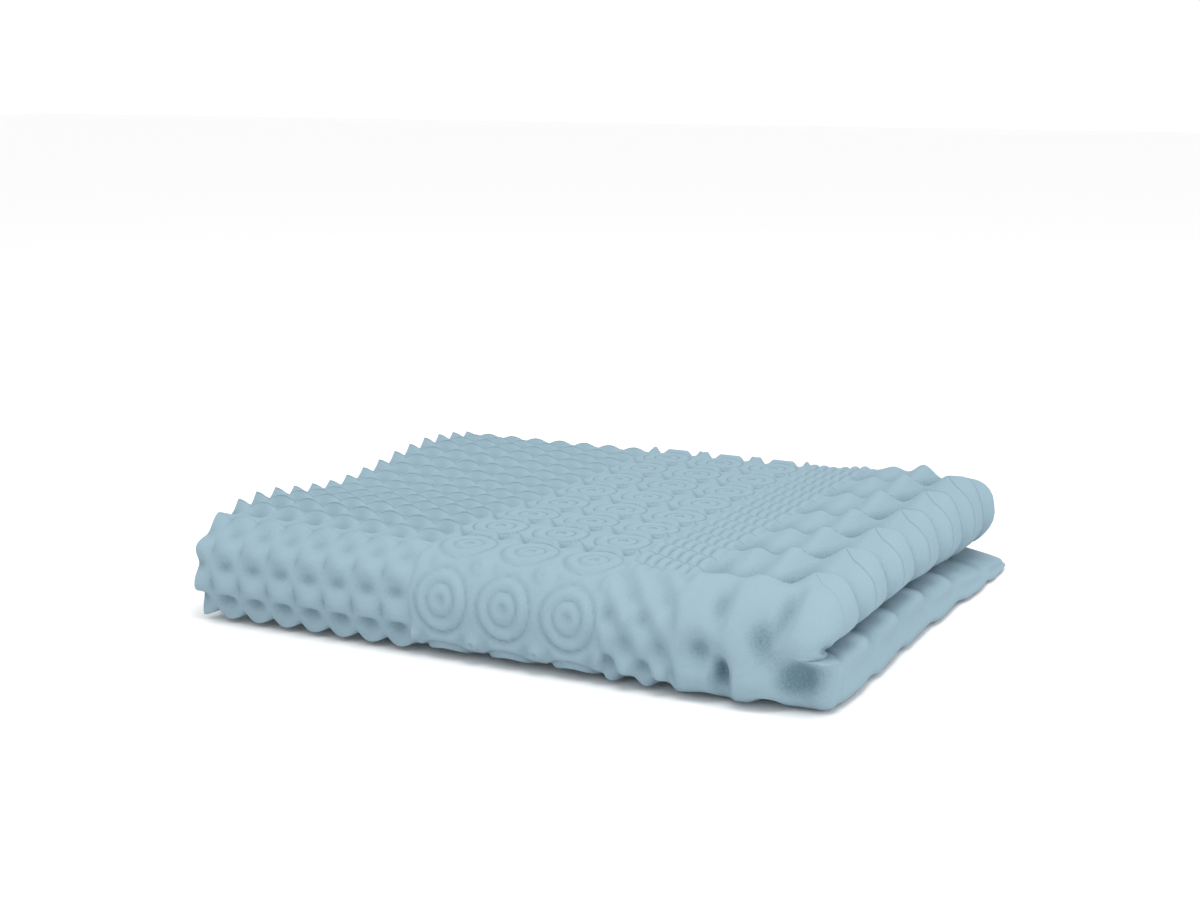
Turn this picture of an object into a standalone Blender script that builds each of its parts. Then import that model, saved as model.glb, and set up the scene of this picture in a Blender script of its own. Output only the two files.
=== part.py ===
"""A foam mattress topper, folded in four as it lies on a floor.

The topper is one slab of open-cell foam with a relief cut into one face.
It is folded once across its length, relief outwards, and once more over the
front.  Every point of the slab is worked out on the flat sheet first, as
(along, across, height above the flat face), and then carried through both
folds.  Metres, +Z up, the floor at Z = 0, the front at -Y, and the fold
across the length at +X.  The origin is the middle of the underside.
"""
import math

import bmesh
import bpy
from mathutils import Vector
from mathutils.geometry import delaunay_2d_cdt

# The flat slab
PITCH = 0.100                    # the relief repeats on this grid
SHEET_LENGTH = 20 * PITCH
SHEET_WIDTH = 17 * PITCH
TIP_HEIGHT = 0.040               # flat face to the highest tips
MEAN_HEIGHT = 0.028              # flat face to the mean of the relief

# The two folds
LAYER_GAP = 0.0012               # between the two flat faces
SLIT_GAP = 0.0030                # between the tips that face each other
RIGHT_BEND = 0.062               # sheet taken up by the bend at the right end
FRONT_BEND = 0.1875              # sheet taken up by the bend at the front
TOE_REACH = 0.025                # the underside is pushed forward below the front bend
FOOT_REACH = 0.028               # the lower leaf widens to its foot at the right end
CLOSING = 0.35                   # both leaves press together at the right end's slit
BELLY_RECEDES = 0.008            # the upper leaf draws back at the right end
SLIT_RECEDES = 0.013             # and further back just above the slit
FRONT_SHIFT = 0.007              # the front bend pulls the relief back by this much
SLIT = (                         # distance from the back, then at the right end: how far the
    (0.00, 0.052, 0.012, 0.013),             # slit hangs down, its opening, the lip's reach
    (0.12, 0.042, 0.005, 0.012),
    (0.30, 0.024, 0.001, -0.001),
    (0.45, 0.012, 0.000, -0.008),
    (0.70, 0.008, 0.000, -0.009),
    (0.90, 0.000, 0.000, 0.000),
)
SAG = (                          # distance from the back, then rise of the top
    (0.000, -0.0235, -0.0175, -0.0040),      # at the left, middle and right
    (0.100, -0.0075, -0.0165, -0.0010),
    (0.175, -0.0032, -0.0155, 0.0000),
    (0.250, -0.0063, -0.0144, 0.0000),
    (0.350, -0.0165, -0.0120, -0.0010),
    (0.450, -0.0220, -0.0108, 0.0010),
    (0.550, -0.0122, -0.0058, 0.0020),
    (0.650, 0.0043, 0.0000, 0.0020),
    (0.725, 0.0025, -0.0045, -0.0020),
    (0.800, -0.0115, -0.0070, -0.0060),
    (0.900, -0.0140, -0.0100, -0.0080),
)

# The zones along one half of the sheet, from the cut end to the fold
TILE_END = 0.375
TILE_PERIOD = PITCH / 2
NOTCH_HEIGHT = 0.031             # between two tiles of a row
SADDLE_HEIGHT = 0.028            # behind a notch
PIT_HEIGHT = 0.020               # behind a tile

RING_END = 0.675
RING_PROFILE = (                 # radius from the ring's centre, height
    (0.0000, 0.0250),
    (0.0130, 0.0325),
    (0.0225, 0.0265),
    (0.0325, 0.0350),
    (0.0420, 0.0285),
    (0.0500, 0.0315),
    (0.0710, 0.0315),
)
STUD_RADII = (0.008, 0.020)      # a stud's top, and the pits beside it
STUD_RISE = 0.0080
STUD_DIMPLE = 0.0050
PIT_DEPTH = 0.0090
CREST_RISE = 0.0055              # between two rows of rings

FINE_END = 0.783
FINE_COLUMN = 0.018
FINE_FLOOR = 0.0285
FINE_RISE = 0.0080
FINE_BENT = 0.740                # where the narrow tiles give way to slanting ribs
RIB_COLUMN = 0.052
RIB_ROW = 0.061
RIB_HEIGHT = 0.0310
RIB_RISE = 0.0050
RIB_DIMPLE = 0.0035

WAVE_ROW = 9 * PITCH / 7         # seven waves take the room of nine rings
WAVE_START = 0.076
WAVE_LEAN = 0.035                # the mounds lie this much nearer to the front
WAVE_FACET = 0.84                # share of a wave that falls gently to the front
MOUND_HEIGHT = 0.046             # the mounds stand above the tips beside them
UNDER_HEIGHT = 0.036             # the lower leaf is pressed flatter
WAVE_PROFILE = (                 # along one half, height of the crests, of the valleys
    (0.7700, 0.0340, 0.0290),
    (0.7950, 0.0310, 0.0190),
    (0.8250, 0.0390, 0.0230),
    (0.8500, 0.0310, 0.0200),
    (0.8760, 0.0460, 0.0220),
    (0.9100, 0.0290, 0.0165),
    (0.9450, 0.0430, 0.0210),
    (0.9850, 0.0430, 0.0210),
    (1.0000, 0.0420, 0.0210),
)
BLOCK_HEIGHT = 0.0370            # the broad blocks on the front
FRONT_HOLLOWS = (                # along, across, half length, half width, depth
    (0.842, 0.806, 0.018, 0.040, 0.013),
    (0.934, 0.800, 0.020, 0.045, 0.014),
    (0.868, 0.738, 0.020, 0.014, 0.010),
    (0.818, 0.864, 0.026, 0.020, 0.015),
    (0.902, 0.842, 0.030, 0.036, 0.018),
    (1.002, 0.832, 0.016, 0.014, 0.010),
    (0.851, 0.893, 0.016, 0.038, 0.023),
    (0.958, 0.892, 0.042, 0.046, 0.029),
    (0.905, 0.935, 0.018, 0.020, 0.012),
)

# The mesh
STEP = PITCH / 4                 # where the relief is seen
RING_SPOKES = 12                 # points around each ring
STUD_SPOKES = 6
FINE_STEP = FINE_COLUMN / 2
RIB_STEP = RIB_COLUMN / 4
BEND_STEP = RIGHT_BEND / 8
WAVE_TO = 0.910                  # from here on the relief runs right round
FRONT_STEP = FRONT_BEND / 8
BENT_FROM = 30 * STEP            # rows are closer together over the front
BENT_TO = 38 * STEP
HIDDEN_STEP = PITCH              # where two layers hide each other
SHOWN_ACROSS = 0.975             # the relief is seen this far under the front
SHOWN_ALONG = 0.100              # and this far behind the right bend
MARGIN = 0.050                   # and this far in from every cut edge

HEM = SHEET_WIDTH - MARGIN - STEP
HALF_LENGTH = SHEET_LENGTH / 2
FRONT_START = (SHEET_WIDTH - FRONT_BEND) / 2
FRONT_END = FRONT_START + FRONT_BEND
RIGHT_START = HALF_LENGTH - RIGHT_BEND / 2
RIGHT_END = HALF_LENGTH + RIGHT_BEND / 2
LEAF = 2 * TIP_HEIGHT + LAYER_GAP + SLIT_GAP / 2


def ramp(start, end, value):
    """Rise smoothly from 0 at start to 1 at end."""
    share = min(max((value - start) / (end - start), 0.0), 1.0)
    return share * share * (3.0 - 2.0 * share)


def look_up(table, value, column=1):
    """Read a column of a table at value, in straight lines between its rows."""
    if value <= table[0][0]:
        return table[0][column]
    for low, high in zip(table, table[1:]):
        if value <= high[0]:
            share = (value - low[0]) / (high[0] - low[0])
            return low[column] + share * (high[column] - low[column])
    return table[-1][column]


def wave(value, period):
    return math.cos(2.0 * math.pi * value / period)


def arch(value, period):
    """A row of round arches that meet in sharp notches, from 0 to 1."""
    return abs(math.cos(math.pi * value / period))


def tile_height(along, across):
    """Rows of tiles: each row is a sharp crest, notched between its tiles."""
    crest = NOTCH_HEIGHT + (TIP_HEIGHT - NOTCH_HEIGHT) * arch(along, TILE_PERIOD)
    swell = (1.0 + wave(along, TILE_PERIOD)) / 2.0
    valley = SADDLE_HEIGHT + (PIT_HEIGHT - SADDLE_HEIGHT) * swell
    return crest + (valley - crest) * arch(across, TILE_PERIOD)


def ring_height(along, across):
    """Rings in rows, with a crest between the rows and a stud between four rings."""
    from_ring_x = abs((along - TILE_END) % PITCH - PITCH / 2)
    from_ring_y = abs(across % PITCH - PITCH / 2)
    height = look_up(RING_PROFILE, math.hypot(from_ring_x, from_ring_y))
    to_stud_x = PITCH / 2 - from_ring_x
    to_stud_y = PITCH / 2 - from_ring_y
    from_stud = math.hypot(to_stud_x, to_stud_y)
    height += STUD_RISE * ramp(0.013, 0.007, from_stud) - STUD_DIMPLE * ramp(0.006, 0.0, from_stud)
    height += CREST_RISE * ramp(0.014, 0.0, to_stud_y) * ramp(0.018, 0.032, to_stud_x)
    from_pit = math.hypot((to_stud_x - STUD_RADII[1]) / 0.012, to_stud_y / 0.020)
    return height - PIT_DEPTH * ramp(1.0, 0.1, from_pit) * ramp(0.79, 0.73, across)


def fine_height(along, across):
    """Narrow tiles in leaning rows on the top, and slanting ribs on the front."""
    if across < FINE_BENT:
        start = along - RING_END
        leaf = arch(start - FINE_COLUMN / 2, FINE_COLUMN) * arch(across - start / 2, PITCH / 2)
        return FINE_FLOOR + FINE_RISE * math.sqrt(leaf)
    lean_x = (along - 0.710) / RIB_COLUMN
    lean_y = (across - 0.838) / RIB_ROW
    ribs = RIB_RISE * wave(lean_x - lean_y, 1.0) + RIB_DIMPLE * wave(lean_x + lean_y, 1.0)
    return RIB_HEIGHT + ribs


def wave_height(along, across):
    """Mounds and long waves that run over the right end, and broad blocks on the front."""
    mirrored = min(along, SHEET_LENGTH - along)
    part = (across - wave_start(mirrored)) / WAVE_ROW % 1.0
    share = max(1.0 - part / WAVE_FACET, (part - WAVE_FACET) / (1.0 - WAVE_FACET))
    crest = look_up(WAVE_PROFILE, mirrored)
    valley = look_up(WAVE_PROFILE, mirrored, 2)
    highest = TIP_HEIGHT + (MOUND_HEIGHT - TIP_HEIGHT) * ramp(1.00, 0.96, along)
    top = min(valley + (crest - valley) * share, highest)
    pressed = ramp(0.93, 0.98, across) * (0.85 - 0.35 * ramp(0.99, 1.03, along))
    top += (UNDER_HEIGHT - top) * pressed
    front = BLOCK_HEIGHT
    for place_x, place_y, reach_x, reach_y, depth in FRONT_HOLLOWS:
        away = math.hypot((mirrored - place_x) / reach_x, (across - place_y) / reach_y)
        front -= depth * ramp(1.3, 0.0, away)
    bent = ramp(0.735, 0.775, across) * ramp(0.985, 0.945, across) * ramp(1.04, 1.00, along)
    return top * (1.0 - bent) + front * bent


def wave_start(along):
    """Where the first crest lies: the mounds are nearer to the front than the waves."""
    return WAVE_START + WAVE_LEAN * ramp(0.945, 0.875, along)


def relief(along, across):
    """Height of the cut face; the halves of the sheet mirror each other."""
    mirrored = min(along, SHEET_LENGTH - along)
    across += FRONT_SHIFT * ramp(0.66, 0.76, across)
    if mirrored < TILE_END:
        return tile_height(mirrored, across)
    if mirrored < RING_END:
        return ring_height(mirrored, across)
    if mirrored < FINE_END - 1e-6:
        return fine_height(mirrored, across)
    return wave_height(along, across)


def cut_face_height(along, across):
    """The relief where it is seen, and plain foam where it is hidden."""
    from_edge = min(along, SHEET_LENGTH - along, across, SHEET_WIDTH - across)
    if from_edge < MARGIN + 1e-6:
        return relief(along, across)
    if along < WAVE_TO - 1e-6 and across > SHOWN_ACROSS + 1e-6:
        return TIP_HEIGHT
    if along > RIGHT_END + SHOWN_ALONG + 1e-6:
        return MEAN_HEIGHT
    return relief(along, across)


def rise(x, from_back):
    """How far the top lies above or below its nominal height."""
    left, middle, right = (look_up(SAG, from_back, column) for column in (1, 2, 3))
    to_middle = ramp(0.05, 0.40, x)
    to_right = ramp(0.65, 0.90, x)
    return (left * (1 - to_middle) + middle * to_middle) * (1 - to_right) + right * to_right


def folded(along, across, height):
    """Carry a point of the flat sheet through both folds."""
    turn = min(max((along - RIGHT_START) / RIGHT_BEND, 0.0), 1.0) * math.pi
    from_seam = LAYER_GAP / 2 + height
    x = min(along, SHEET_LENGTH - along, RIGHT_START) + from_seam * math.sin(turn)
    from_slit = SLIT_GAP / 2 + TIP_HEIGHT + LAYER_GAP / 2 + from_seam * math.cos(turn)

    lean = min(max((across - FRONT_START) / FRONT_BEND, 0.0), 1.0) * math.pi
    from_back = min(across, SHEET_WIDTH - across, FRONT_START) + from_slit * math.sin(lean)
    level = from_slit * math.cos(lean) / LEAF
    return settled(x, from_back, level)


def settled(x, from_back, level):
    """Let the packet sag; level runs from -1 at the floor to 1 at the top."""
    to_right = ramp(0.80, 1.00, x)
    slit = LEAF - look_up(SLIT, from_back) * to_right
    opening = look_up(SLIT, from_back, 2) * to_right
    bulge = ramp(0.90, 1.00, x)
    level = math.copysign(abs(level) ** (1.0 + CLOSING * ramp(0.92, 0.99, x)), level)
    if level < 0.0:
        z = (slit - opening / 2) * max(1.0 + level, 0.0)
        reach = look_up(SLIT, from_back, 3) * bulge * ramp(0.0, 0.4, -level)
        foot = FOOT_REACH * ramp(0.86, RIGHT_START, x) * ramp(0.86, 0.66, from_back)
        reach += foot * ramp(0.45, 1.0, -level)
        from_back += TOE_REACH * ramp(0.2, 0.95, -level) * ramp(0.20, 0.75, from_back)
    else:
        bottom = slit + opening / 2
        z = bottom + (2.0 * LEAF + rise(x, from_back) - bottom) * level
        reach = 0.0
    recedes = BELLY_RECEDES + SLIT_RECEDES * ramp(0.45, 0.0, level)
    return Vector((x + reach - recedes * bulge * ramp(-0.05, 0.0, level), -from_back, z))


def even_steps(start, end, longest):
    """Evenly spaced values from start to end, both included."""
    count = max(1, math.ceil((end - start) / longest - 1e-6))
    return [start + (end - start) * number / count for number in range(count + 1)]


def grid(columns, rows):
    return [(along, across) for along in columns for across in rows]


def circle(centre_x, centre_y, radius, spokes):
    turns = [2.0 * math.pi * number / spokes for number in range(spokes)]
    return [(centre_x + radius * math.cos(turn), centre_y + radius * math.sin(turn))
            for turn in turns]


def pulled(across):
    """Where the front bend pulls a place of the relief's grid to."""
    return across - FRONT_SHIFT * ramp(0.66, 0.76, across)


def ring_zone_points():
    """Points that follow each ring and each stud, rather than a grid."""
    points = []
    for number in range(math.ceil(SHOWN_ACROSS / PITCH)):
        for centre_x in (TILE_END + PITCH / 2, TILE_END + 1.5 * PITCH, TILE_END + 2.5 * PITCH):
            centre_y = (number + 0.5) * PITCH
            points.append((centre_x, centre_y))
            points += circle(centre_x, centre_y, RING_PROFILE[1][0], RING_SPOKES - 4)
            points += circle(centre_x, centre_y, RING_PROFILE[2][0], RING_SPOKES)
            points += circle(centre_x, centre_y, RING_PROFILE[3][0], RING_SPOKES)
            points += circle(centre_x, centre_y, PITCH / 2, 4)
    for number in range(math.ceil(SHOWN_ACROSS / PITCH)):
        for stud_x in (TILE_END, TILE_END + PITCH, TILE_END + 2 * PITCH, RING_END):
            stud_y = number * PITCH
            points.append((stud_x, stud_y))
            for radius in STUD_RADII:
                points += circle(stud_x, stud_y, radius, STUD_SPOKES)
    return [(along, pulled(across)) for along, across in points
            if TILE_END - 1e-6 < along < RING_END + 1e-6 and 0.0 < across < SHOWN_ACROSS]


def fine_zone_points():
    """Points on the tips and in the grooves of the narrow columns, and on the ribs."""
    points = []
    for along in even_steps(RING_END, FINE_END, FINE_STEP)[1:-1]:
        lean = (along - RING_END) / 2
        points += [(along, lean + number * STEP) for number in range(-2, 30)]
    points = [(along, across) for along, across in points if 0.0 < across < FINE_BENT]
    ribs = grid(even_steps(RING_END, FINE_END, RIB_STEP), even_steps(FINE_BENT, BENT_TO, STEP / 2))
    return [(along, pulled(across)) for along, across in points + ribs]


def wave_zone_points(columns, start, end):
    """Points on the crests, the facets and the valleys of the waves."""
    return [(along, pulled(wave_start(min(along, SHEET_LENGTH - along)) + WAVE_ROW * (number + part)))
            for along in columns for number in range(-1, 13) for part in (0.0, WAVE_FACET / 2, WAVE_FACET)
            if start < wave_start(min(along, SHEET_LENGTH - along)) + WAVE_ROW * (number + part) < end]


def cut_face_points():
    """Where the cut face has its corners, on the flat sheet."""
    front = [pulled(row) for row in even_steps(BENT_FROM, BENT_TO, STEP / 2)]
    shown = [pulled(row) for row in even_steps(0.0, BENT_FROM, STEP)] + front + [SHOWN_ACROSS]
    under = even_steps(SHOWN_ACROSS, SHEET_WIDTH, STEP)
    hidden = (even_steps(MARGIN, FRONT_START, HIDDEN_STEP)
              + even_steps(FRONT_START, FRONT_END, FRONT_STEP)
              + even_steps(FRONT_END, SHEET_WIDTH - MARGIN, HIDDEN_STEP))
    edge_rows = even_steps(0.0, MARGIN, STEP)
    far_rows = even_steps(SHEET_WIDTH - MARGIN, SHEET_WIDTH, STEP)

    behind = RIGHT_END + SHOWN_ALONG
    mounds = [FINE_END] + [row[0] for row in WAVE_PROFILE if FINE_END < row[0] < WAVE_TO]
    right_end = ([row[0] for row in WAVE_PROFILE if WAVE_TO <= row[0] < RIGHT_START]
                 + even_steps(RIGHT_START, RIGHT_END, BEND_STEP)
                 + even_steps(RIGHT_END, behind, STEP))
    far_end = even_steps(SHEET_LENGTH - MARGIN, SHEET_LENGTH, STEP)
    inner = even_steps(behind, SHEET_LENGTH - MARGIN, HIDDEN_STEP)
    below = even_steps(MARGIN + STEP, WAVE_TO - STEP, HIDDEN_STEP)

    points = grid(even_steps(0.0, TILE_END, STEP), shown)
    points += ring_zone_points()
    points += fine_zone_points()
    points += wave_zone_points(mounds + right_end, BENT_FROM / 60, BENT_FROM - STEP / 4)
    points += grid(mounds + right_end, [0.0] + front + [SHOWN_ACROSS])
    points += wave_zone_points(right_end, SHOWN_ACROSS + STEP / 2, SHEET_WIDTH - STEP / 2)
    points += grid(right_end, [SHEET_WIDTH])
    points += grid(even_steps(0.0, MARGIN, STEP), under)
    points += grid([MARGIN + STEP, WAVE_TO - STEP], even_steps(SHOWN_ACROSS, HEM, 2 * STEP))
    points += grid(even_steps(MARGIN + STEP, WAVE_TO - STEP, 2 * STEP), [SHOWN_ACROSS + STEP, HEM])
    points += grid(far_end, shown + under)
    points += grid(even_steps(TILE_END, FINE_END, STEP), [0.0, SHOWN_ACROSS])
    points += grid(even_steps(MARGIN, RIGHT_START, STEP), far_rows)
    points += grid(even_steps(behind, SHEET_LENGTH, STEP), edge_rows + far_rows)
    points += grid(inner, hidden)
    points += grid(below, [row for row in hidden if SHOWN_ACROSS + HIDDEN_STEP < row < HEM])
    return sorted({(round(along, 5), round(across, 5)) for along, across in points})


def add_cut_face(mesh):
    """Triangles between the corners of the cut face; returns its vertices."""
    corners = [Vector(point) for point in cut_face_points()]
    flat, _, triangles, *_ = delaunay_2d_cdt(corners, [], [], 0, 1e-6)
    vertices = {}
    for number, (along, across) in enumerate(flat):
        height = cut_face_height(along, across)
        vertices[number] = mesh.verts.new(folded(along, across, height))
    for triangle in triangles:
        mesh.faces.new([vertices[number] for number in triangle])
    return [(along, across, vertices[number]) for number, (along, across) in enumerate(flat)]


def add_flat_face(mesh):
    """The uncut face; both halves share their places, so that they stay apart."""
    half = even_steps(0.0, RIGHT_START, HIDDEN_STEP)
    columns = half + [HALF_LENGTH] + [SHEET_LENGTH - place for place in reversed(half)]
    back = even_steps(0.0, FRONT_START, HIDDEN_STEP)
    bend = even_steps(FRONT_START, FRONT_END, FRONT_STEP)[1:-1]
    rows = back + bend + [SHEET_WIDTH - place for place in reversed(back)]
    sheet = [[mesh.verts.new(folded(along, across, 0.0)) for across in rows]
             for along in columns]
    for column, (left, right) in enumerate(zip(sheet, sheet[1:])):
        for a, b, c, d in zip(left, right, right[1:], left[1:]):
            if columns[column] < HALF_LENGTH - 1e-6:
                mesh.faces.new((a, b, c))
                mesh.faces.new((a, c, d))
            else:
                mesh.faces.new((a, b, d))
                mesh.faces.new((b, c, d))
    return [(along, across, sheet[i][j]) for i, along in enumerate(columns)
            for j, across in enumerate(rows)]


def edge_of(face, axis, place):
    """The corners of a face along one edge of the sheet, in order."""
    found = [point for point in face if abs(point[axis] - place) < 1e-5]
    return sorted(found, key=lambda point: point[1 - axis])


def add_wall(mesh, axis, place, flat_face, cut_face):
    """Close one edge of the slab, worked out as an outline on the flat sheet."""
    low = edge_of(flat_face, axis, place)
    high = edge_of(cut_face, axis, place)
    outline = [Vector((point[1 - axis], 0.0)) for point in low]
    outline += [Vector((point[1 - axis], cut_face_height(*point[:2])))
                for point in reversed(high)]
    vertices = [point[2] for point in low + high[::-1]]
    _, _, triangles, sources, *_ = delaunay_2d_cdt(outline, [], [range(len(outline))], 1, 1e-7)
    for triangle in triangles:
        mesh.faces.new([vertices[sources[corner][0]] for corner in triangle])


def foam_material():
    material = bpy.data.materials.new("foam")
    material.use_nodes = True
    shader = material.node_tree.nodes["Principled BSDF"]
    shader.inputs["Base Color"].default_value = (0.335, 0.490, 0.565, 1.0)
    shader.inputs["Roughness"].default_value = 0.95
    shader.inputs["Metallic"].default_value = 0.0
    return material


def centre_on_floor(mesh):
    """Move the origin to the middle of the box around the packet, on the floor."""
    xs = [vertex.co.x for vertex in mesh.verts]
    ys = [vertex.co.y for vertex in mesh.verts]
    zs = [vertex.co.z for vertex in mesh.verts]
    middle = Vector(((min(xs) + max(xs)) / 2, (min(ys) + max(ys)) / 2, min(zs)))
    bmesh.ops.translate(mesh, vec=-middle, verts=mesh.verts)


def foam_topper():
    mesh = bmesh.new()
    cut_face = add_cut_face(mesh)
    flat_face = add_flat_face(mesh)
    for axis, place in ((0, 0.0), (0, SHEET_LENGTH), (1, 0.0), (1, SHEET_WIDTH)):
        add_wall(mesh, axis, place, flat_face, cut_face)
    bmesh.ops.recalc_face_normals(mesh, faces=mesh.faces)
    centre_on_floor(mesh)
    data = bpy.data.meshes.new("foam_topper")
    mesh.to_mesh(data)
    mesh.free()
    data.materials.append(foam_material())
    topper = bpy.data.objects.new("foam_topper", data)
    bpy.context.collection.objects.link(topper)
    return topper


for old in list(bpy.data.objects):
    bpy.data.objects.remove(old, do_unlink=True)
foam_topper()
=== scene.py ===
"""A foam mattress topper, folded in four, on a pale floor."""

import math

import bpy
import numpy as np
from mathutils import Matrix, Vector
from mathutils.geometry import delaunay_2d_cdt


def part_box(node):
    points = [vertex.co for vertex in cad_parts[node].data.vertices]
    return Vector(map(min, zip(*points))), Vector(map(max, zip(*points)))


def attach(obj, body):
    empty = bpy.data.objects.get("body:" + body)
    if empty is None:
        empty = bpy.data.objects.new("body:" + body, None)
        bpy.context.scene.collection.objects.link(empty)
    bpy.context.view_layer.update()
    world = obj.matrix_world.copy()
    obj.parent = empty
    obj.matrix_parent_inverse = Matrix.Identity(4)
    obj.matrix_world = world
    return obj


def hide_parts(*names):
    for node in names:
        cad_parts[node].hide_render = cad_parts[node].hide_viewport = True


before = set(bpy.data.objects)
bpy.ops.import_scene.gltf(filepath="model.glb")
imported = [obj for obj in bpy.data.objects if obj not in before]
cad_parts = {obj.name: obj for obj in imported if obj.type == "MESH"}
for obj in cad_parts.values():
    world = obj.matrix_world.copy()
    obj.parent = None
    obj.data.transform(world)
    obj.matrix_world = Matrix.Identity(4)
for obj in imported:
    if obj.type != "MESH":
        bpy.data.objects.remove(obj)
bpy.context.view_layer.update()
bpy.ops.object.select_all(action="DESELECT")

# The foam slab
#
# One slab of open-cell foam, run through a profile saw that squeezes it between studded rollers: the blade
# leaves a relief of tips and rings on one face.  It is folded once across its length, relief outwards, and
# once more over the front.  Each point is worked out on the flat sheet and carried through both folds.
PITCH = 0.100                            # the relief repeats on this grid
SHEET_LENGTH = 20 * PITCH
SHEET_WIDTH = 17 * PITCH
TIP_HEIGHT = 0.040                       # flat face to the highest tips
TILE_END = 0.375                         # zones along one half, from the cut end
RING_END = 0.675
FINE_END = 0.783


def ramp(start, end, value):
    """Rise smoothly from 0 at start to 1 at end."""
    share = np.clip((value - start) / (end - start), 0.0, 1.0)
    return share * share * (3.0 - 2.0 * share)


def within(zone, value):
    """Rise from 0 to 1 over a zone's first two places, and fall again over its last two."""
    return ramp(zone[0], zone[1], value) * ramp(zone[3], zone[2], value)


def mix(low, high, share):
    return low + (high - low) * share


def look_up(table, value, column=1):
    """Read a column of a table at value, with smooth steps between its rows."""
    place = np.interp(value, table[:, 0], np.arange(len(table)))
    row = np.clip(place.astype(int), 0, len(table) - 2)
    return mix(table[row, column], table[row + 1, column], ramp(0.0, 1.0, place - row))


def wave(value, period):
    return np.cos(2.0 * math.pi * value / period)


def arch(value, period):
    """A row of round arches that meet in sharp notches, from 0 to 1."""
    return np.abs(np.cos(math.pi * value / period))


TILE_PERIOD = PITCH / 2
TILE_CREST = (0.030, 0.040)              # at the notch between two tiles, and at a tile's top
TILE_VALLEY = (0.028, 0.020)             # behind a notch, and behind a top
KNOB_ZONE = (0.74, 0.79, 0.88, 0.92)     # across: the front bend rounds the tiles to knobs
KNOB_NOTCH = 0.004                       # and deepens the notches between them
UPPER_KNOBS = (0.78, 0.79, 0.81, 0.825)  # across: the valley above the upper row of knobs is shallower
UPPER_FILL = 0.004


def tile_height(along, across):
    """Rows of tiles: each row is a sharp crest, notched between its tiles; round knobs on the front."""
    front = within(KNOB_ZONE, across)
    crest = mix(TILE_CREST[0] - KNOB_NOTCH * front, TILE_CREST[1], arch(along, TILE_PERIOD))
    valley = mix(*TILE_VALLEY, (1.0 + wave(along, TILE_PERIOD)) / 2.0)
    valley = valley + UPPER_FILL * within(UPPER_KNOBS, across)
    sharp = arch(across, TILE_PERIOD)
    rounded = (1.0 + wave(across, TILE_PERIOD)) / 2.0
    return mix(crest, valley, mix(sharp, rounded, front))


RING_LEVEL = 0.0325
RING_PROFILE = np.array((                # radius from the ring's centre, height
    (0.0000, 0.0260),
    (0.0040, 0.0265),
    (0.0095, 0.0325),
    (0.0160, 0.0325),
    (0.0215, 0.0272),
    (0.0280, 0.0348),
    (0.0350, 0.0348),
    (0.0410, 0.0262),
    (0.0475, 0.0312),
    (0.0710, 0.0312),
))
RING_SHARE = (0.75, 0.40)                # how much of the profile's depth is left on the front and the top
STUD_RISE = 0.0085
STUD_RADII = (0.015, 0.006)              # at its foot and its top
DIMPLE_DEPTH = 0.005                     # in the middle of a stud
PIT_DEPTH = 0.0080                       # beside each stud
PIT_PLACE = 0.020                        # along, from the stud
PIT_REACH = (0.012, 0.020)               # half its length and half its width
ROW_CREST = 0.0055                       # rise of the crest between two rows of rings
ROW_CREST_REACH = 0.014
ROW_CREST_START = (0.018, 0.032)         # it fades in over these distances from a stud
FRONT_STUDS = 0.6                        # shares of the studs, and of the pits and crests, on the front
FRONT_PITS = 0.3


def ring_height(along, across):
    """Rings in rows, with a crest between the rows and a stud between four rings."""
    from_ring_x = np.abs((along - TILE_END) % PITCH - PITCH / 2)
    from_ring_y = np.abs(across % PITCH - PITCH / 2)
    top = ramp(0.77, 0.73, across)
    ring = look_up(RING_PROFILE, np.hypot(from_ring_x, from_ring_y))
    ring = RING_LEVEL + (ring - RING_LEVEL) * mix(*RING_SHARE, top)
    to_stud_x = PITCH / 2 - from_ring_x
    to_stud_y = PITCH / 2 - from_ring_y
    from_stud = np.hypot(to_stud_x, to_stud_y)
    stud = STUD_RISE * ramp(*STUD_RADII, from_stud) - DIMPLE_DEPTH * ramp(STUD_RADII[1], 0.0, from_stud)
    from_pit = np.hypot((to_stud_x - PIT_PLACE) / PIT_REACH[0], to_stud_y / PIT_REACH[1])
    pit = PIT_DEPTH * ramp(1.0, 0.1, from_pit)
    crest = ROW_CREST * ramp(ROW_CREST_REACH, 0.0, to_stud_y) * ramp(*ROW_CREST_START, to_stud_x)
    return ring + stud * mix(FRONT_STUDS, 1.0, top) + (crest - pit) * mix(FRONT_PITS, 1.0, top)


FINE_COLUMN = 0.018
FINE_ROW = PITCH / 2
FINE_LEAN = 0.5                          # each row shifts across by this share of its way along
FINE_LEVEL = 0.0290
FINE_RISE = 0.0062
RIB_COLUMN = 0.052                       # the fine zone's ribs on the front
RIB_ROW = 0.061
RIB_PLACE = (0.710, 0.838)               # along and across, the top of one rib
RIB_LEVEL = 0.0310
RIB_RISE = 0.0050
RIB_DIMPLES = 0.0035                     # lower down, the ribs break up into bumps


def fine_height(along, across):
    """Narrow tiles in leaning rows on the top, and slanting ribs on the front."""
    start = along - RING_END
    leaves = arch(start - FINE_COLUMN / 2, FINE_COLUMN) * arch(across - start * FINE_LEAN, FINE_ROW)
    top = FINE_LEVEL + FINE_RISE * leaves ** 0.5
    lean_x = (along - RIB_PLACE[0]) / RIB_COLUMN
    lean_y = (across - RIB_PLACE[1]) / RIB_ROW
    dimples = RIB_DIMPLES * ramp(0.79, 0.84, across)
    front = RIB_LEVEL + RIB_RISE * wave(lean_x - lean_y, 1.0) + dimples * wave(lean_x + lean_y, 1.0)
    return mix(top, front, ramp(0.72, 0.79, across))


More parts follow.
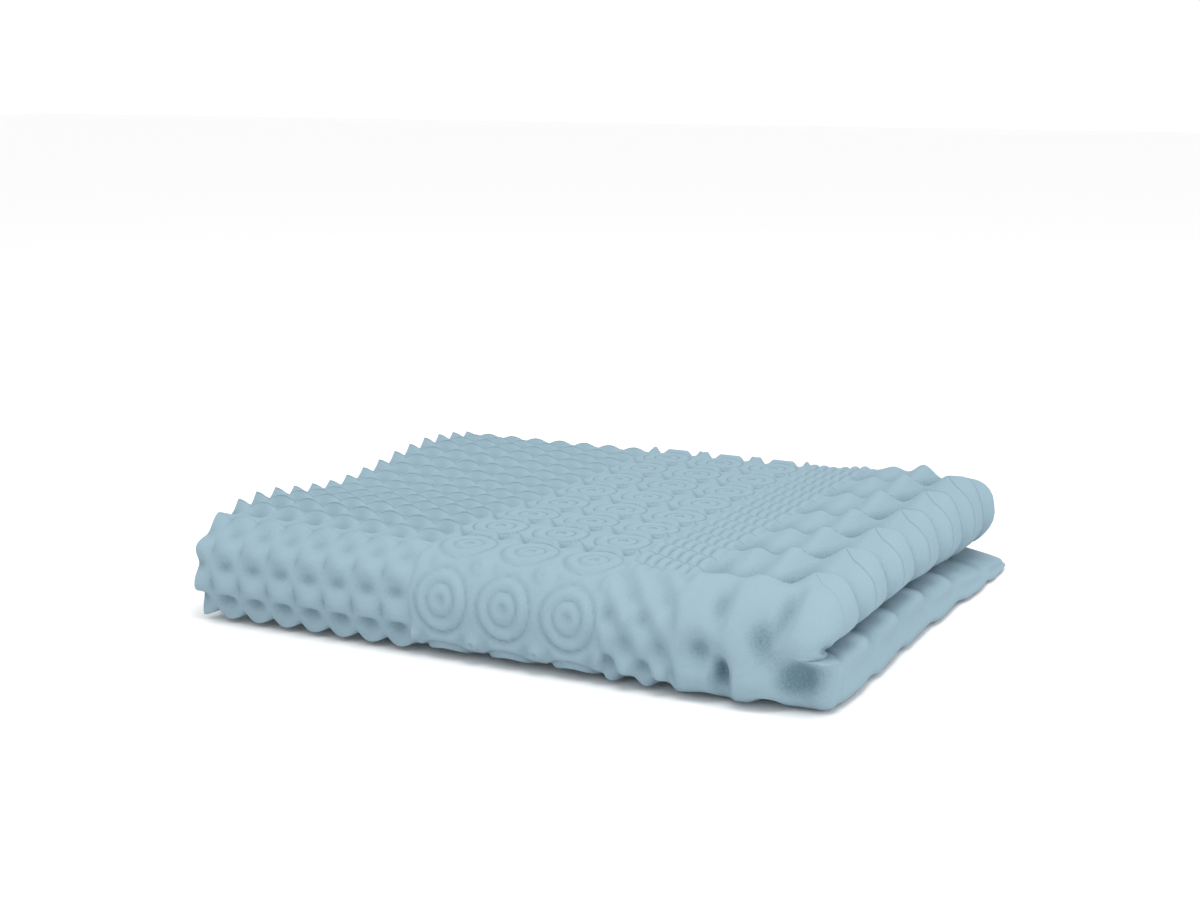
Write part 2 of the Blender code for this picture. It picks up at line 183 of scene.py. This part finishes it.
WAVE_ROW = 9 * PITCH / 7                 # seven waves take the room of nine rings
WAVE_START = 0.076
WAVE_LEAN = 0.035                        # the rows shift across by this much, over this stretch along
LEAN_STRETCH = (0.875, 0.945)
WAVE_FACET = 0.84                        # share of a wave that falls gently to the front
WAVE_PROFILE = np.array((                # along one half, height of the crests, height of the valleys
    (0.7700, 0.0340, 0.0290),
    (0.7950, 0.0310, 0.0190),
    (0.8250, 0.0390, 0.0230),
    (0.8500, 0.0310, 0.0200),
    (0.8760, 0.0460, 0.0220),
    (0.9100, 0.0290, 0.0165),
    (0.9450, 0.0430, 0.0210),
    (0.9850, 0.0430, 0.0210),
    (1.0000, 0.0420, 0.0210),
))
MOUND_HEIGHT = 0.046                     # the mounds stand above the tips beside them
CLEARANCE = 0.001                        # all waves stay this far below the tips or the mounds
KNUCKLE_RISE = 0.012                     # a knuckle on each wave's gentle side, round the right bend
KNUCKLE_PART = 0.45                      # its middle and reach, in waves
KNUCKLE_REACH = 0.30
KNUCKLE_STRETCH = (0.970, 1.000, 1.040, 1.080)
UNDER_HEIGHT = 0.036                     # the lower leaf is pressed towards this height
UNDER_START = (0.93, 0.98)
PRESSED = (0.85, 0.25)                   # by this share on the floor's side, and on the slit's
LIP_START = (0.992, 1.012)               # along: from the floor's side to the slit's
BLOCK_ZONE = (0.735, 0.775, 0.945, 0.985)    # across: broad blocks on the front
BLOCK_END = (1.04, 1.00)
BLOCK_LEVEL = 0.0370
BLOCK_SWELL = 0.002
SWELL_PLACE = 0.96                       # along, the top of one swell
SWELL_PERIOD = 0.09
HOLLOW_RIM = 1.3                         # a hollow fades out at this many of its half sizes
FRONT_HOLLOWS = (                        # along, across, half length, half width, depth
    (0.842, 0.806, 0.018, 0.040, 0.013),
    (0.934, 0.800, 0.020, 0.045, 0.014),
    (0.868, 0.738, 0.020, 0.014, 0.010),
    (0.818, 0.864, 0.028, 0.024, 0.015),
    (0.902, 0.842, 0.036, 0.042, 0.016),
    (1.002, 0.832, 0.016, 0.014, 0.010),
    (0.851, 0.893, 0.016, 0.038, 0.023),
    (0.958, 0.892, 0.042, 0.050, 0.029),
    (0.905, 0.935, 0.018, 0.020, 0.012),
)


def wave_height(along, across):
    """Mounds and long waves that run over the right end, and broad blocks on the front."""
    mirrored = np.minimum(along, SHEET_LENGTH - along)
    row = across - WAVE_START - WAVE_LEAN * ramp(LEAN_STRETCH[1], LEAN_STRETCH[0], mirrored)
    part = row / WAVE_ROW % 1.0
    share = np.maximum(1.0 - part / WAVE_FACET, (part - WAVE_FACET) / (1.0 - WAVE_FACET))
    between = ramp(KNUCKLE_REACH, 0.0, np.abs(part - KNUCKLE_PART))
    knuckle = KNUCKLE_RISE * between * within(KNUCKLE_STRETCH, along)
    top = mix(look_up(WAVE_PROFILE, mirrored, 2), look_up(WAVE_PROFILE, mirrored, 1), share) + knuckle
    top = np.minimum(top, mix(TIP_HEIGHT, MOUND_HEIGHT, ramp(1.00, 0.96, along)) - CLEARANCE)
    pressed = ramp(*UNDER_START, across) * mix(*PRESSED, ramp(*LIP_START, along))
    top = mix(top, UNDER_HEIGHT, pressed)
    front = BLOCK_LEVEL + BLOCK_SWELL * wave(mirrored - SWELL_PLACE, SWELL_PERIOD)
    for place_x, place_y, reach_x, reach_y, depth in FRONT_HOLLOWS:
        away = np.hypot((mirrored - place_x) / reach_x, (across - place_y) / reach_y)
        front = front - depth * ramp(HOLLOW_RIM, 0.0, away)
    return mix(top, front, within(BLOCK_ZONE, across) * ramp(*BLOCK_END, along))


FRONT_SHIFT = 0.007                      # the front bend pulls the pattern back by this much
SHIFT_START = (0.66, 0.76)
ZONE_BLEND = 0.004                       # half the width over which one zone passes into the next
WAVE_BLEND = 0.010
STRETCHED_ZONE = (0.72, 0.79, 0.87, 0.90)    # across: the front bend pulls the relief flatter
STRETCHED_HEIGHT = 0.034
STRETCHING = 0.20


def relief(along, across):
    """Height of the cut face; the halves of the sheet mirror each other."""
    mirrored = np.minimum(along, SHEET_LENGTH - along)
    across = across + FRONT_SHIFT * ramp(*SHIFT_START, across)
    height = tile_height(mirrored, across)
    height = mix(height, ring_height(mirrored, across),
                 ramp(TILE_END - ZONE_BLEND, TILE_END + ZONE_BLEND, mirrored))
    height = mix(height, fine_height(mirrored, across),
                 ramp(RING_END - ZONE_BLEND, RING_END + ZONE_BLEND, mirrored))
    height = mix(height, wave_height(along, across),
                 ramp(FINE_END - WAVE_BLEND, FINE_END + WAVE_BLEND, mirrored))
    before_waves = ramp(FINE_END + WAVE_BLEND, FINE_END - WAVE_BLEND, along)
    return mix(height, STRETCHED_HEIGHT, STRETCHING * within(STRETCHED_ZONE, across) * before_waves)


LAYER_GAP = 0.0012
SLIT_GAP = 0.0030
RIGHT_BEND = 0.062                       # sheet taken up by the bend at the right end
FRONT_BEND = 0.1875                      # sheet taken up by the bend at the front
FRONT_START = (SHEET_WIDTH - FRONT_BEND) / 2
RIGHT_START = (SHEET_LENGTH - RIGHT_BEND) / 2
RIGHT_END = RIGHT_START + RIGHT_BEND
LEAF = 2 * TIP_HEIGHT + LAYER_GAP + SLIT_GAP / 2
CLOSING = 0.35                           # both leaves press together at the right end's slit
FOOT_REACH = 0.028                       # the lower leaf widens to its foot at the right end
TOE_REACH = 0.025                        # the underside is pushed forward below the front bend
BELLY_RECEDES = 0.008                    # the right bend's belly lies in by this much
SLIT_RECEDES = 0.013                     # and by this much more down at the slit
# Distance from the back, then the rise of the top at the left, in the middle and at the right.
SAG = np.array((
    (0.000, -0.0235, -0.0175, -0.0040),
    (0.100, -0.0075, -0.0165, -0.0010),
    (0.175, -0.0032, -0.0155, 0.0000),
    (0.250, -0.0063, -0.0144, 0.0000),
    (0.350, -0.0165, -0.0120, -0.0010),
    (0.450, -0.0220, -0.0108, 0.0010),
    (0.550, -0.0122, -0.0058, 0.0020),
    (0.650, 0.0043, 0.0000, 0.0020),
    (0.725, 0.0025, -0.0045, -0.0020),
    (0.800, -0.0115, -0.0070, -0.0060),
    (0.900, -0.0140, -0.0100, -0.0080),
))
# Distance from the back, then at the right end: how far the slit hangs down, how far it opens, and how far
# the lip below it reaches out.
SLIT = np.array((
    (0.00, 0.052, 0.012, 0.013),
    (0.12, 0.042, 0.005, 0.012),
    (0.30, 0.024, 0.001, -0.001),
    (0.45, 0.012, 0.000, -0.008),
    (0.70, 0.008, 0.000, -0.009),
    (0.90, 0.000, 0.000, 0.000),
))
solid_low, solid_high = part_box("foam_topper")


def rise(x, from_back):
    """How far the top lies above or below its nominal height."""
    left, middle, right = (np.interp(from_back, SAG[:, 0], SAG[:, column]) for column in (1, 2, 3))
    to_middle = ramp(0.05, 0.40, x)
    to_right = ramp(0.65, 0.90, x)
    return mix(mix(left, middle, to_middle), right, to_right)


def folded(along, across, height):
    """Carry points of the flat sheet through both folds."""
    turn = np.clip((along - RIGHT_START) / RIGHT_BEND, 0.0, 1.0) * math.pi
    from_seam = LAYER_GAP / 2 + height
    flat_x = np.minimum(np.minimum(along, SHEET_LENGTH - along), RIGHT_START)
    x = flat_x + from_seam * np.sin(turn)
    from_slit = SLIT_GAP / 2 + TIP_HEIGHT + LAYER_GAP / 2 + from_seam * np.cos(turn)

    lean = np.clip((across - FRONT_START) / FRONT_BEND, 0.0, 1.0) * math.pi
    flat_y = np.minimum(np.minimum(across, SHEET_WIDTH - across), FRONT_START)
    from_back = flat_y + from_slit * np.sin(lean)
    level = from_slit * np.cos(lean) / LEAF      # -1 at the floor, 0 at the slit, 1 at the top

    # The slit hangs and opens towards the right end, where both leaves press against it.
    to_right = ramp(0.80, 1.00, x)
    closed = ramp(0.92, 0.99, x)
    level = np.sign(level) * np.abs(level) ** (1.0 + CLOSING * closed)
    slit = LEAF - look_up(SLIT, from_back) * to_right
    opening = look_up(SLIT, from_back, 2) * to_right
    top = 2.0 * LEAF + rise(x, from_back)
    below = (slit - opening / 2) * (1.0 + level)
    above = mix(slit + opening / 2, top, level)
    z = np.where(level < 0.0, np.maximum(below, 0.0), above)

    # At the right end the lip and the foot reach out, and the belly above them lies in.
    at_right = ramp(0.90, 1.00, x)
    x = x + look_up(SLIT, from_back, 3) * at_right * ramp(0.0, 0.4, -level)
    foot = FOOT_REACH * ramp(0.86, RIGHT_START, flat_x) * ramp(0.86, 0.66, from_back)
    x = x + foot * ramp(0.45, 1.0, -level)
    recedes = BELLY_RECEDES + SLIT_RECEDES * ramp(0.45, 0.0, level)
    x = x - recedes * at_right * ramp(-0.05, 0.0, level)
    from_back = from_back + TOE_REACH * ramp(0.2, 0.95, -level) * ramp(0.20, 0.75, flat_y)
    return np.stack((x + solid_low[0], solid_high[1] - from_back, z), axis=-1)


def spaced(*runs):
    """Places along one side of the sheet; each run is its start, its end and its step."""
    places = []
    for start, end, step in runs:
        count = max(1, round((end - start) / step))
        places += list(np.linspace(start, end, count + 1)[:-1])
    return np.array(places + [runs[-1][1]])


UNSEEN_START = 1.20                      # along: deep in the slit the relief is out of sight
UNSEEN_END = 1.94
UNDERSIDE_START = 0.975                  # across
columns = spaced(
    (0.0, TILE_END, 0.0050),
    (TILE_END, RING_END, 0.0040),
    (RING_END, FINE_END, FINE_COLUMN / 5),
    (FINE_END, RIGHT_START, 0.0055),
    (RIGHT_START, RIGHT_END, 0.0040),
    (RIGHT_END, UNSEEN_START, 0.0080),
    (UNSEEN_START, UNSEEN_END, 0.0200),
    (UNSEEN_END, SHEET_LENGTH, 0.0060),
)
rows = spaced((0.0, UNDERSIDE_START, TILE_PERIOD / 12), (UNDERSIDE_START, SHEET_WIDTH, 0.0110))
rows = rows - FRONT_SHIFT * ramp(*SHIFT_START, rows) * ramp(1.40, 1.20, rows)
along, across = np.meshgrid(columns, rows, indexing="ij")
cut_height = relief(along, across)
cut_points = folded(along, across, cut_height).reshape(-1, 3)
numbers = np.arange(len(columns) * len(rows)).reshape(len(columns), len(rows))

# The flat face needs few corners inside, and the cut face's own ones along its edge.
FLAT_STEP = 0.04
border = np.concatenate((numbers[:-1, 0], numbers[-1, :-1], numbers[:0:-1, -1], numbers[0, :0:-1]))
border_places = np.stack((along.ravel()[border], across.ravel()[border]), axis=-1)
inside = [(x, y) for x in np.arange(FLAT_STEP, SHEET_LENGTH - 0.03, FLAT_STEP)
          for y in np.arange(FLAT_STEP, SHEET_WIDTH - 0.03, FLAT_STEP)]
flat_places, _, flat_faces, sources, *_ = delaunay_2d_cdt(
    [Vector(place) for place in list(border_places) + inside], [], [], 0, 1e-7)
flat_places = np.array([tuple(place) for place in flat_places])
flat_points = folded(flat_places[:, 0], flat_places[:, 1], np.zeros(len(flat_places)))
flat_of_source = {source: number for number, group in enumerate(sources) for source in group}

quads = np.stack((numbers[:-1, :-1], numbers[:-1, 1:], numbers[1:, 1:], numbers[1:, :-1]), axis=-1)
first_flat = len(cut_points)
faces = quads.reshape(-1, 4).tolist()
faces += [[first_flat + corner for corner in face] for face in flat_faces]
for number, corner in enumerate(border):
    following = (number + 1) % len(border)
    faces.append([int(corner), int(border[following]), first_flat + flat_of_source[following],
                  first_flat + flat_of_source[number]])

slab_mesh = bpy.data.meshes.new("foam_slab")
slab_mesh.from_pydata(np.concatenate((cut_points, flat_points)).tolist(), [], faces)
slab = bpy.data.objects.new("foam_slab", slab_mesh)
bpy.context.collection.objects.link(slab)

# The material finds its place on the flat sheet in a UV map, and the depth of the cut in an attribute.
places = np.concatenate((np.stack((along.ravel(), across.ravel()), axis=-1), flat_places))
sheet_map = slab_mesh.uv_layers.new(name="sheet")
corner_vertices = np.empty(len(slab_mesh.loops), dtype=int)
slab_mesh.loops.foreach_get("vertex_index", corner_vertices)
sheet_map.data.foreach_set("uv", places[corner_vertices].ravel())
# The depth of the cut paints shade into the hollows; the flat face gets the tips' height, so no painted
# shade.
no_painted_shade = np.full(len(flat_points), TIP_HEIGHT)
heights = slab_mesh.attributes.new("height", "FLOAT", "POINT")
heights.data.foreach_set("value", np.concatenate((cut_height.ravel(), no_painted_shade)))

SHARP_ANGLE = 42.0
bpy.context.view_layer.objects.active = slab
slab.select_set(True)
bpy.ops.object.mode_set(mode="EDIT")
bpy.ops.mesh.select_all(action="SELECT")
bpy.ops.mesh.normals_make_consistent(inside=False)
bpy.ops.object.mode_set(mode="OBJECT")
bpy.ops.object.shade_smooth_by_angle(angle=math.radians(SHARP_ANGLE))


class Value:
    """A shader socket that can be written in sums."""

    def __init__(self, tree, socket):
        self.tree = tree
        self.socket = socket

    def maths(self, operation, *others):
        return node(self.tree, "ShaderNodeMath", {"operation": operation},
                    {number: value for number, value in enumerate((self, *others))})

    def __add__(self, other):
        return self.maths("ADD", other)

    def __sub__(self, other):
        return self.maths("SUBTRACT", other)

    def __mul__(self, other):
        return self.maths("MULTIPLY", other)

    def __rsub__(self, other):
        return node(self.tree, "ShaderNodeMath", {"operation": "SUBTRACT"}, {0: other, 1: self})

    __radd__ = __add__
    __rmul__ = __mul__


def node(tree, kind, settings=None, inputs=None, output=0):
    """Add a node: its settings first, then the values or links of its sockets."""
    made = tree.nodes.new(kind)
    for name, setting in (settings or {}).items():
        setattr(made, name, setting)
    for name, value in (inputs or {}).items():
        if isinstance(value, Value):
            tree.links.new(value.socket, made.inputs[name])
        else:
            made.inputs[name].default_value = value
    return Value(tree, made.outputs[output])


def passing(value, start, end, low, high, kind="SMOOTHSTEP"):
    """A value that goes from low, before start, to high, after end."""
    return node(value.tree, "ShaderNodeMapRange", {"interpolation_type": kind},
                {"Value": value, "From Min": start, "From Max": end, "To Min": low, "To Max": high})


def repeated(value, period):
    """How far a value is through its period, from 0 to 1."""
    return (value * (1.0 / period)).maths("FRACT")


def from_middle(part, period):
    """Distance from the middle of each period."""
    return (part - 0.5).maths("ABSOLUTE") * period


def from_start(part, period):
    """Distance from the nearest start of a period."""
    return (0.5 - (part - 0.5).maths("ABSOLUTE")) * period


# The foam's own colour, and the colour of the painted shade in its hollows and along its lines.
FOAM_COLOUR = (0.247, 0.348, 0.406, 1.0)
FOAM_PAINTED_SHADE = (0.118, 0.198, 0.235, 1.0)
PAINTED_SHADE_HEIGHTS = (0.014, 0.031)            # painted shade in the hollows: darkest below the first, and as light as the tips above the other
TILES_LESS_PAINTED_SHADE = 0.55                     # the painted shade in the valleys between the tiles of the top is less dark by this share
GRAIN_TONE = 0.35
CLOUD_TONE = 0.20
RING_GROOVES = (0.0065, 0.0215, 0.0410)  # radii of a ring's grooves, where dark lines of painted shade are drawn
LINE_EDGES = (0.0004, 0.0024)            # a line fades out between these distances
LINE_SHADE = 0.50
LINES_FADE = (0.70, 0.78)                # across: on the front the painted shade lines show a tenth as much
CRESCENT_STRETCH = (0.940, 1.065)        # along: a second painted shade line curves away from each crest and back
CRESCENT_DEPTH = 0.40                    # in waves
WALL = 0.001                             # no line is drawn on the cut ends and edges

foam = bpy.data.materials.new("foam")
foam.use_nodes = True
tree = foam.node_tree
shader = tree.nodes["Principled BSDF"]
shader.inputs["Roughness"].default_value = 0.95
shader.inputs["Specular IOR Level"].default_value = 0.15
place = node(tree, "ShaderNodeTexCoord", output="Object")
height = node(tree, "ShaderNodeAttribute", {"attribute_name": "height"}, output="Fac")
pores = node(tree, "ShaderNodeTexVoronoi", {"feature": "F1"}, {"Vector": place, "Scale": 420.0})
grain = node(tree, "ShaderNodeTexNoise", None, {"Vector": place, "Scale": 300.0, "Detail": 2.0})
cloud = node(tree, "ShaderNodeTexNoise", None, {"Vector": place, "Scale": 9.0, "Detail": 3.0})
on_sheet = node(tree, "ShaderNodeUVMap", {"uv_map": "sheet"})
sheet_x = node(tree, "ShaderNodeSeparateXYZ", None, {"Vector": on_sheet}, output="X")
sheet_y = node(tree, "ShaderNodeSeparateXYZ", None, {"Vector": on_sheet}, output="Y")
half_x = sheet_x.maths("MINIMUM", SHEET_LENGTH - sheet_x)
shifted_y = sheet_y + passing(sheet_y, *SHIFT_START, 0.0, FRONT_SHIFT)

in_tiles = half_x.maths("LESS_THAN", TILE_END)
in_rings = half_x.maths("GREATER_THAN", TILE_END) * half_x.maths("LESS_THAN", RING_END)
in_fine = half_x.maths("GREATER_THAN", RING_END) * half_x.maths("LESS_THAN", FINE_END)
in_waves = half_x.maths("GREATER_THAN", FINE_END + WAVE_BLEND)
tile_part = repeated(shifted_y, TILE_PERIOD)
ring_part = repeated(shifted_y, PITCH)
ring_x = repeated(half_x - TILE_END, PITCH) - 0.5
ring_y = ring_part - 0.5
radius = (ring_x * ring_x + ring_y * ring_y).maths("SQRT") * PITCH
fine_part = repeated(shifted_y - (half_x - RING_END) * FINE_LEAN, FINE_ROW)
leaning = passing(half_x, *LEAN_STRETCH, WAVE_LEAN, 0.0)
wave_part = repeated(shifted_y - WAVE_START - leaning, WAVE_ROW)
crescent_start, crescent_end = CRESCENT_STRETCH
crescent = ((sheet_x - crescent_start) * (math.pi / (crescent_end - crescent_start))).maths("SINE")
crescent = crescent * sheet_x.maths("GREATER_THAN", crescent_start)
crescent = crescent * sheet_x.maths("LESS_THAN", crescent_end)
from_crescent = (wave_part - crescent * CRESCENT_DEPTH).maths("ABSOLUTE") * WAVE_ROW

# Each line of painted shade: the distance from it, and where and how strongly it is drawn.
painted_shade_lines = [((radius - groove_radius).maths("ABSOLUTE"), in_rings) for groove_radius in RING_GROOVES]
painted_shade_lines += [
    (from_start(ring_part, PITCH), in_rings * 0.6),
    (from_middle(tile_part, TILE_PERIOD), in_tiles * 1.2),
    (from_middle(fine_part, FINE_ROW), in_fine),
    (from_start(wave_part, WAVE_ROW), in_waves * 1.6),
    (from_crescent, crescent.maths("GREATER_THAN", 0.1) * 1.2),
]
painted_line_shade = 0.0
for distance, zone in painted_shade_lines:
    painted_line_shade = painted_line_shade + passing(distance, *LINE_EDGES, 1.0, 0.0) * zone
on_top = passing(sheet_y, *LINES_FADE, 1.0, 0.1, kind="LINEAR")
on_face = half_x.maths("GREATER_THAN", WALL) * sheet_y.maths("GREATER_THAN", WALL)
painted_line_shade = painted_line_shade * on_top * on_face
# Painted shade in the hollows of the cut, darker the deeper they lie, and less dark between the top's
# tiles.
painted_hollow_shade = passing(height, *PAINTED_SHADE_HEIGHTS, 1.0, 0.0) * (1.0 - in_tiles * on_top * TILES_LESS_PAINTED_SHADE)
# Painted shade from the hollows and lines, plus the foam's own grain, stronger in the painted hollows, and
# cloudy tone.
painted_shade_and_grain = painted_hollow_shade + painted_line_shade * LINE_SHADE + (grain - 0.5) * (painted_hollow_shade + GRAIN_TONE) + (cloud - 0.5) * CLOUD_TONE
colour = node(tree, "ShaderNodeMix", {"data_type": "RGBA"},
              {"Factor": painted_shade_and_grain, "A": FOAM_COLOUR, "B": FOAM_PAINTED_SHADE}, output="Result")
tree.links.new(colour.socket, shader.inputs["Base Color"])
surface = pores * 0.6 + grain * 0.4
roughened = node(tree, "ShaderNodeBump", None,
                 {"Strength": 0.35, "Distance": 0.0012, "Height": surface}, output="Normal")
tree.links.new(roughened.socket, shader.inputs["Normal"])
slab_mesh.materials.append(foam)

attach(slab, "root")
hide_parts("foam_topper")

# The floor
#
# A wide pale floor, matt, that carries the topper and its soft shadow.  It is no part of the object.
bpy.ops.mesh.primitive_plane_add(size=40.0, location=(0.0, 0.0, 0.0))
floor = bpy.context.object
floor.name = "floor"
paint = bpy.data.materials.new("floor_paint")
paint.use_nodes = True
paint.node_tree.nodes["Principled BSDF"].inputs["Base Color"].default_value = (0.92, 0.92, 0.92, 1.0)
paint.node_tree.nodes["Principled BSDF"].inputs["Roughness"].default_value = 0.9
floor.data.materials.append(paint)

# The studio light
#
# A bright even room, with a large soft lamp high before the topper and a weaker one at its right.  Both
# are turned to the middle of the topper.
room = bpy.data.worlds.new("room")
bpy.context.scene.world = room
room.use_nodes = True
room.node_tree.nodes["Background"].inputs["Color"].default_value = (1.0, 1.0, 1.0, 1.0)
room.node_tree.nodes["Background"].inputs["Strength"].default_value = 1.05
bpy.context.scene.view_settings.view_transform = "Standard"
AIM = Vector((0.0, 0.0, 0.1))
for name, lamp_place, size, energy in (
    ("soft_lamp", (0.7, -1.0, 3.4), 2.0, 60.0),
    ("right_fill", (3.4, -1.2, 0.9), 1.6, 18.0),
):
    bpy.ops.object.light_add(type="AREA", location=lamp_place)
    lamp = bpy.context.object
    lamp.name = name
    lamp.data.shape = "DISK"
    lamp.data.size = size
    lamp.data.energy = energy
    lamp.rotation_euler = (Vector(lamp_place) - AIM).to_track_quat("Z", "Y").to_euler()

# The camera
#
# It stands as high and as far to the right as the photograph's, about three metres off.
CAMERA_HEIGHT = 0.8297
CAMERA_DOWN = 12.124                     # degrees below level
CAMERA_TURN = 26.218                     # degrees to the right of the topper's front
bpy.ops.object.camera_add(location=(solid_low[0] + 1.7057, solid_high[1] - 2.9193, CAMERA_HEIGHT))
camera = bpy.context.object
camera.name = "camera"
camera.rotation_euler = (math.radians(90.0 - CAMERA_DOWN), 0.0, math.radians(CAMERA_TURN))
camera.data.lens = 54.45
camera.data.sensor_width = 36.0
bpy.context.scene.camera = camera
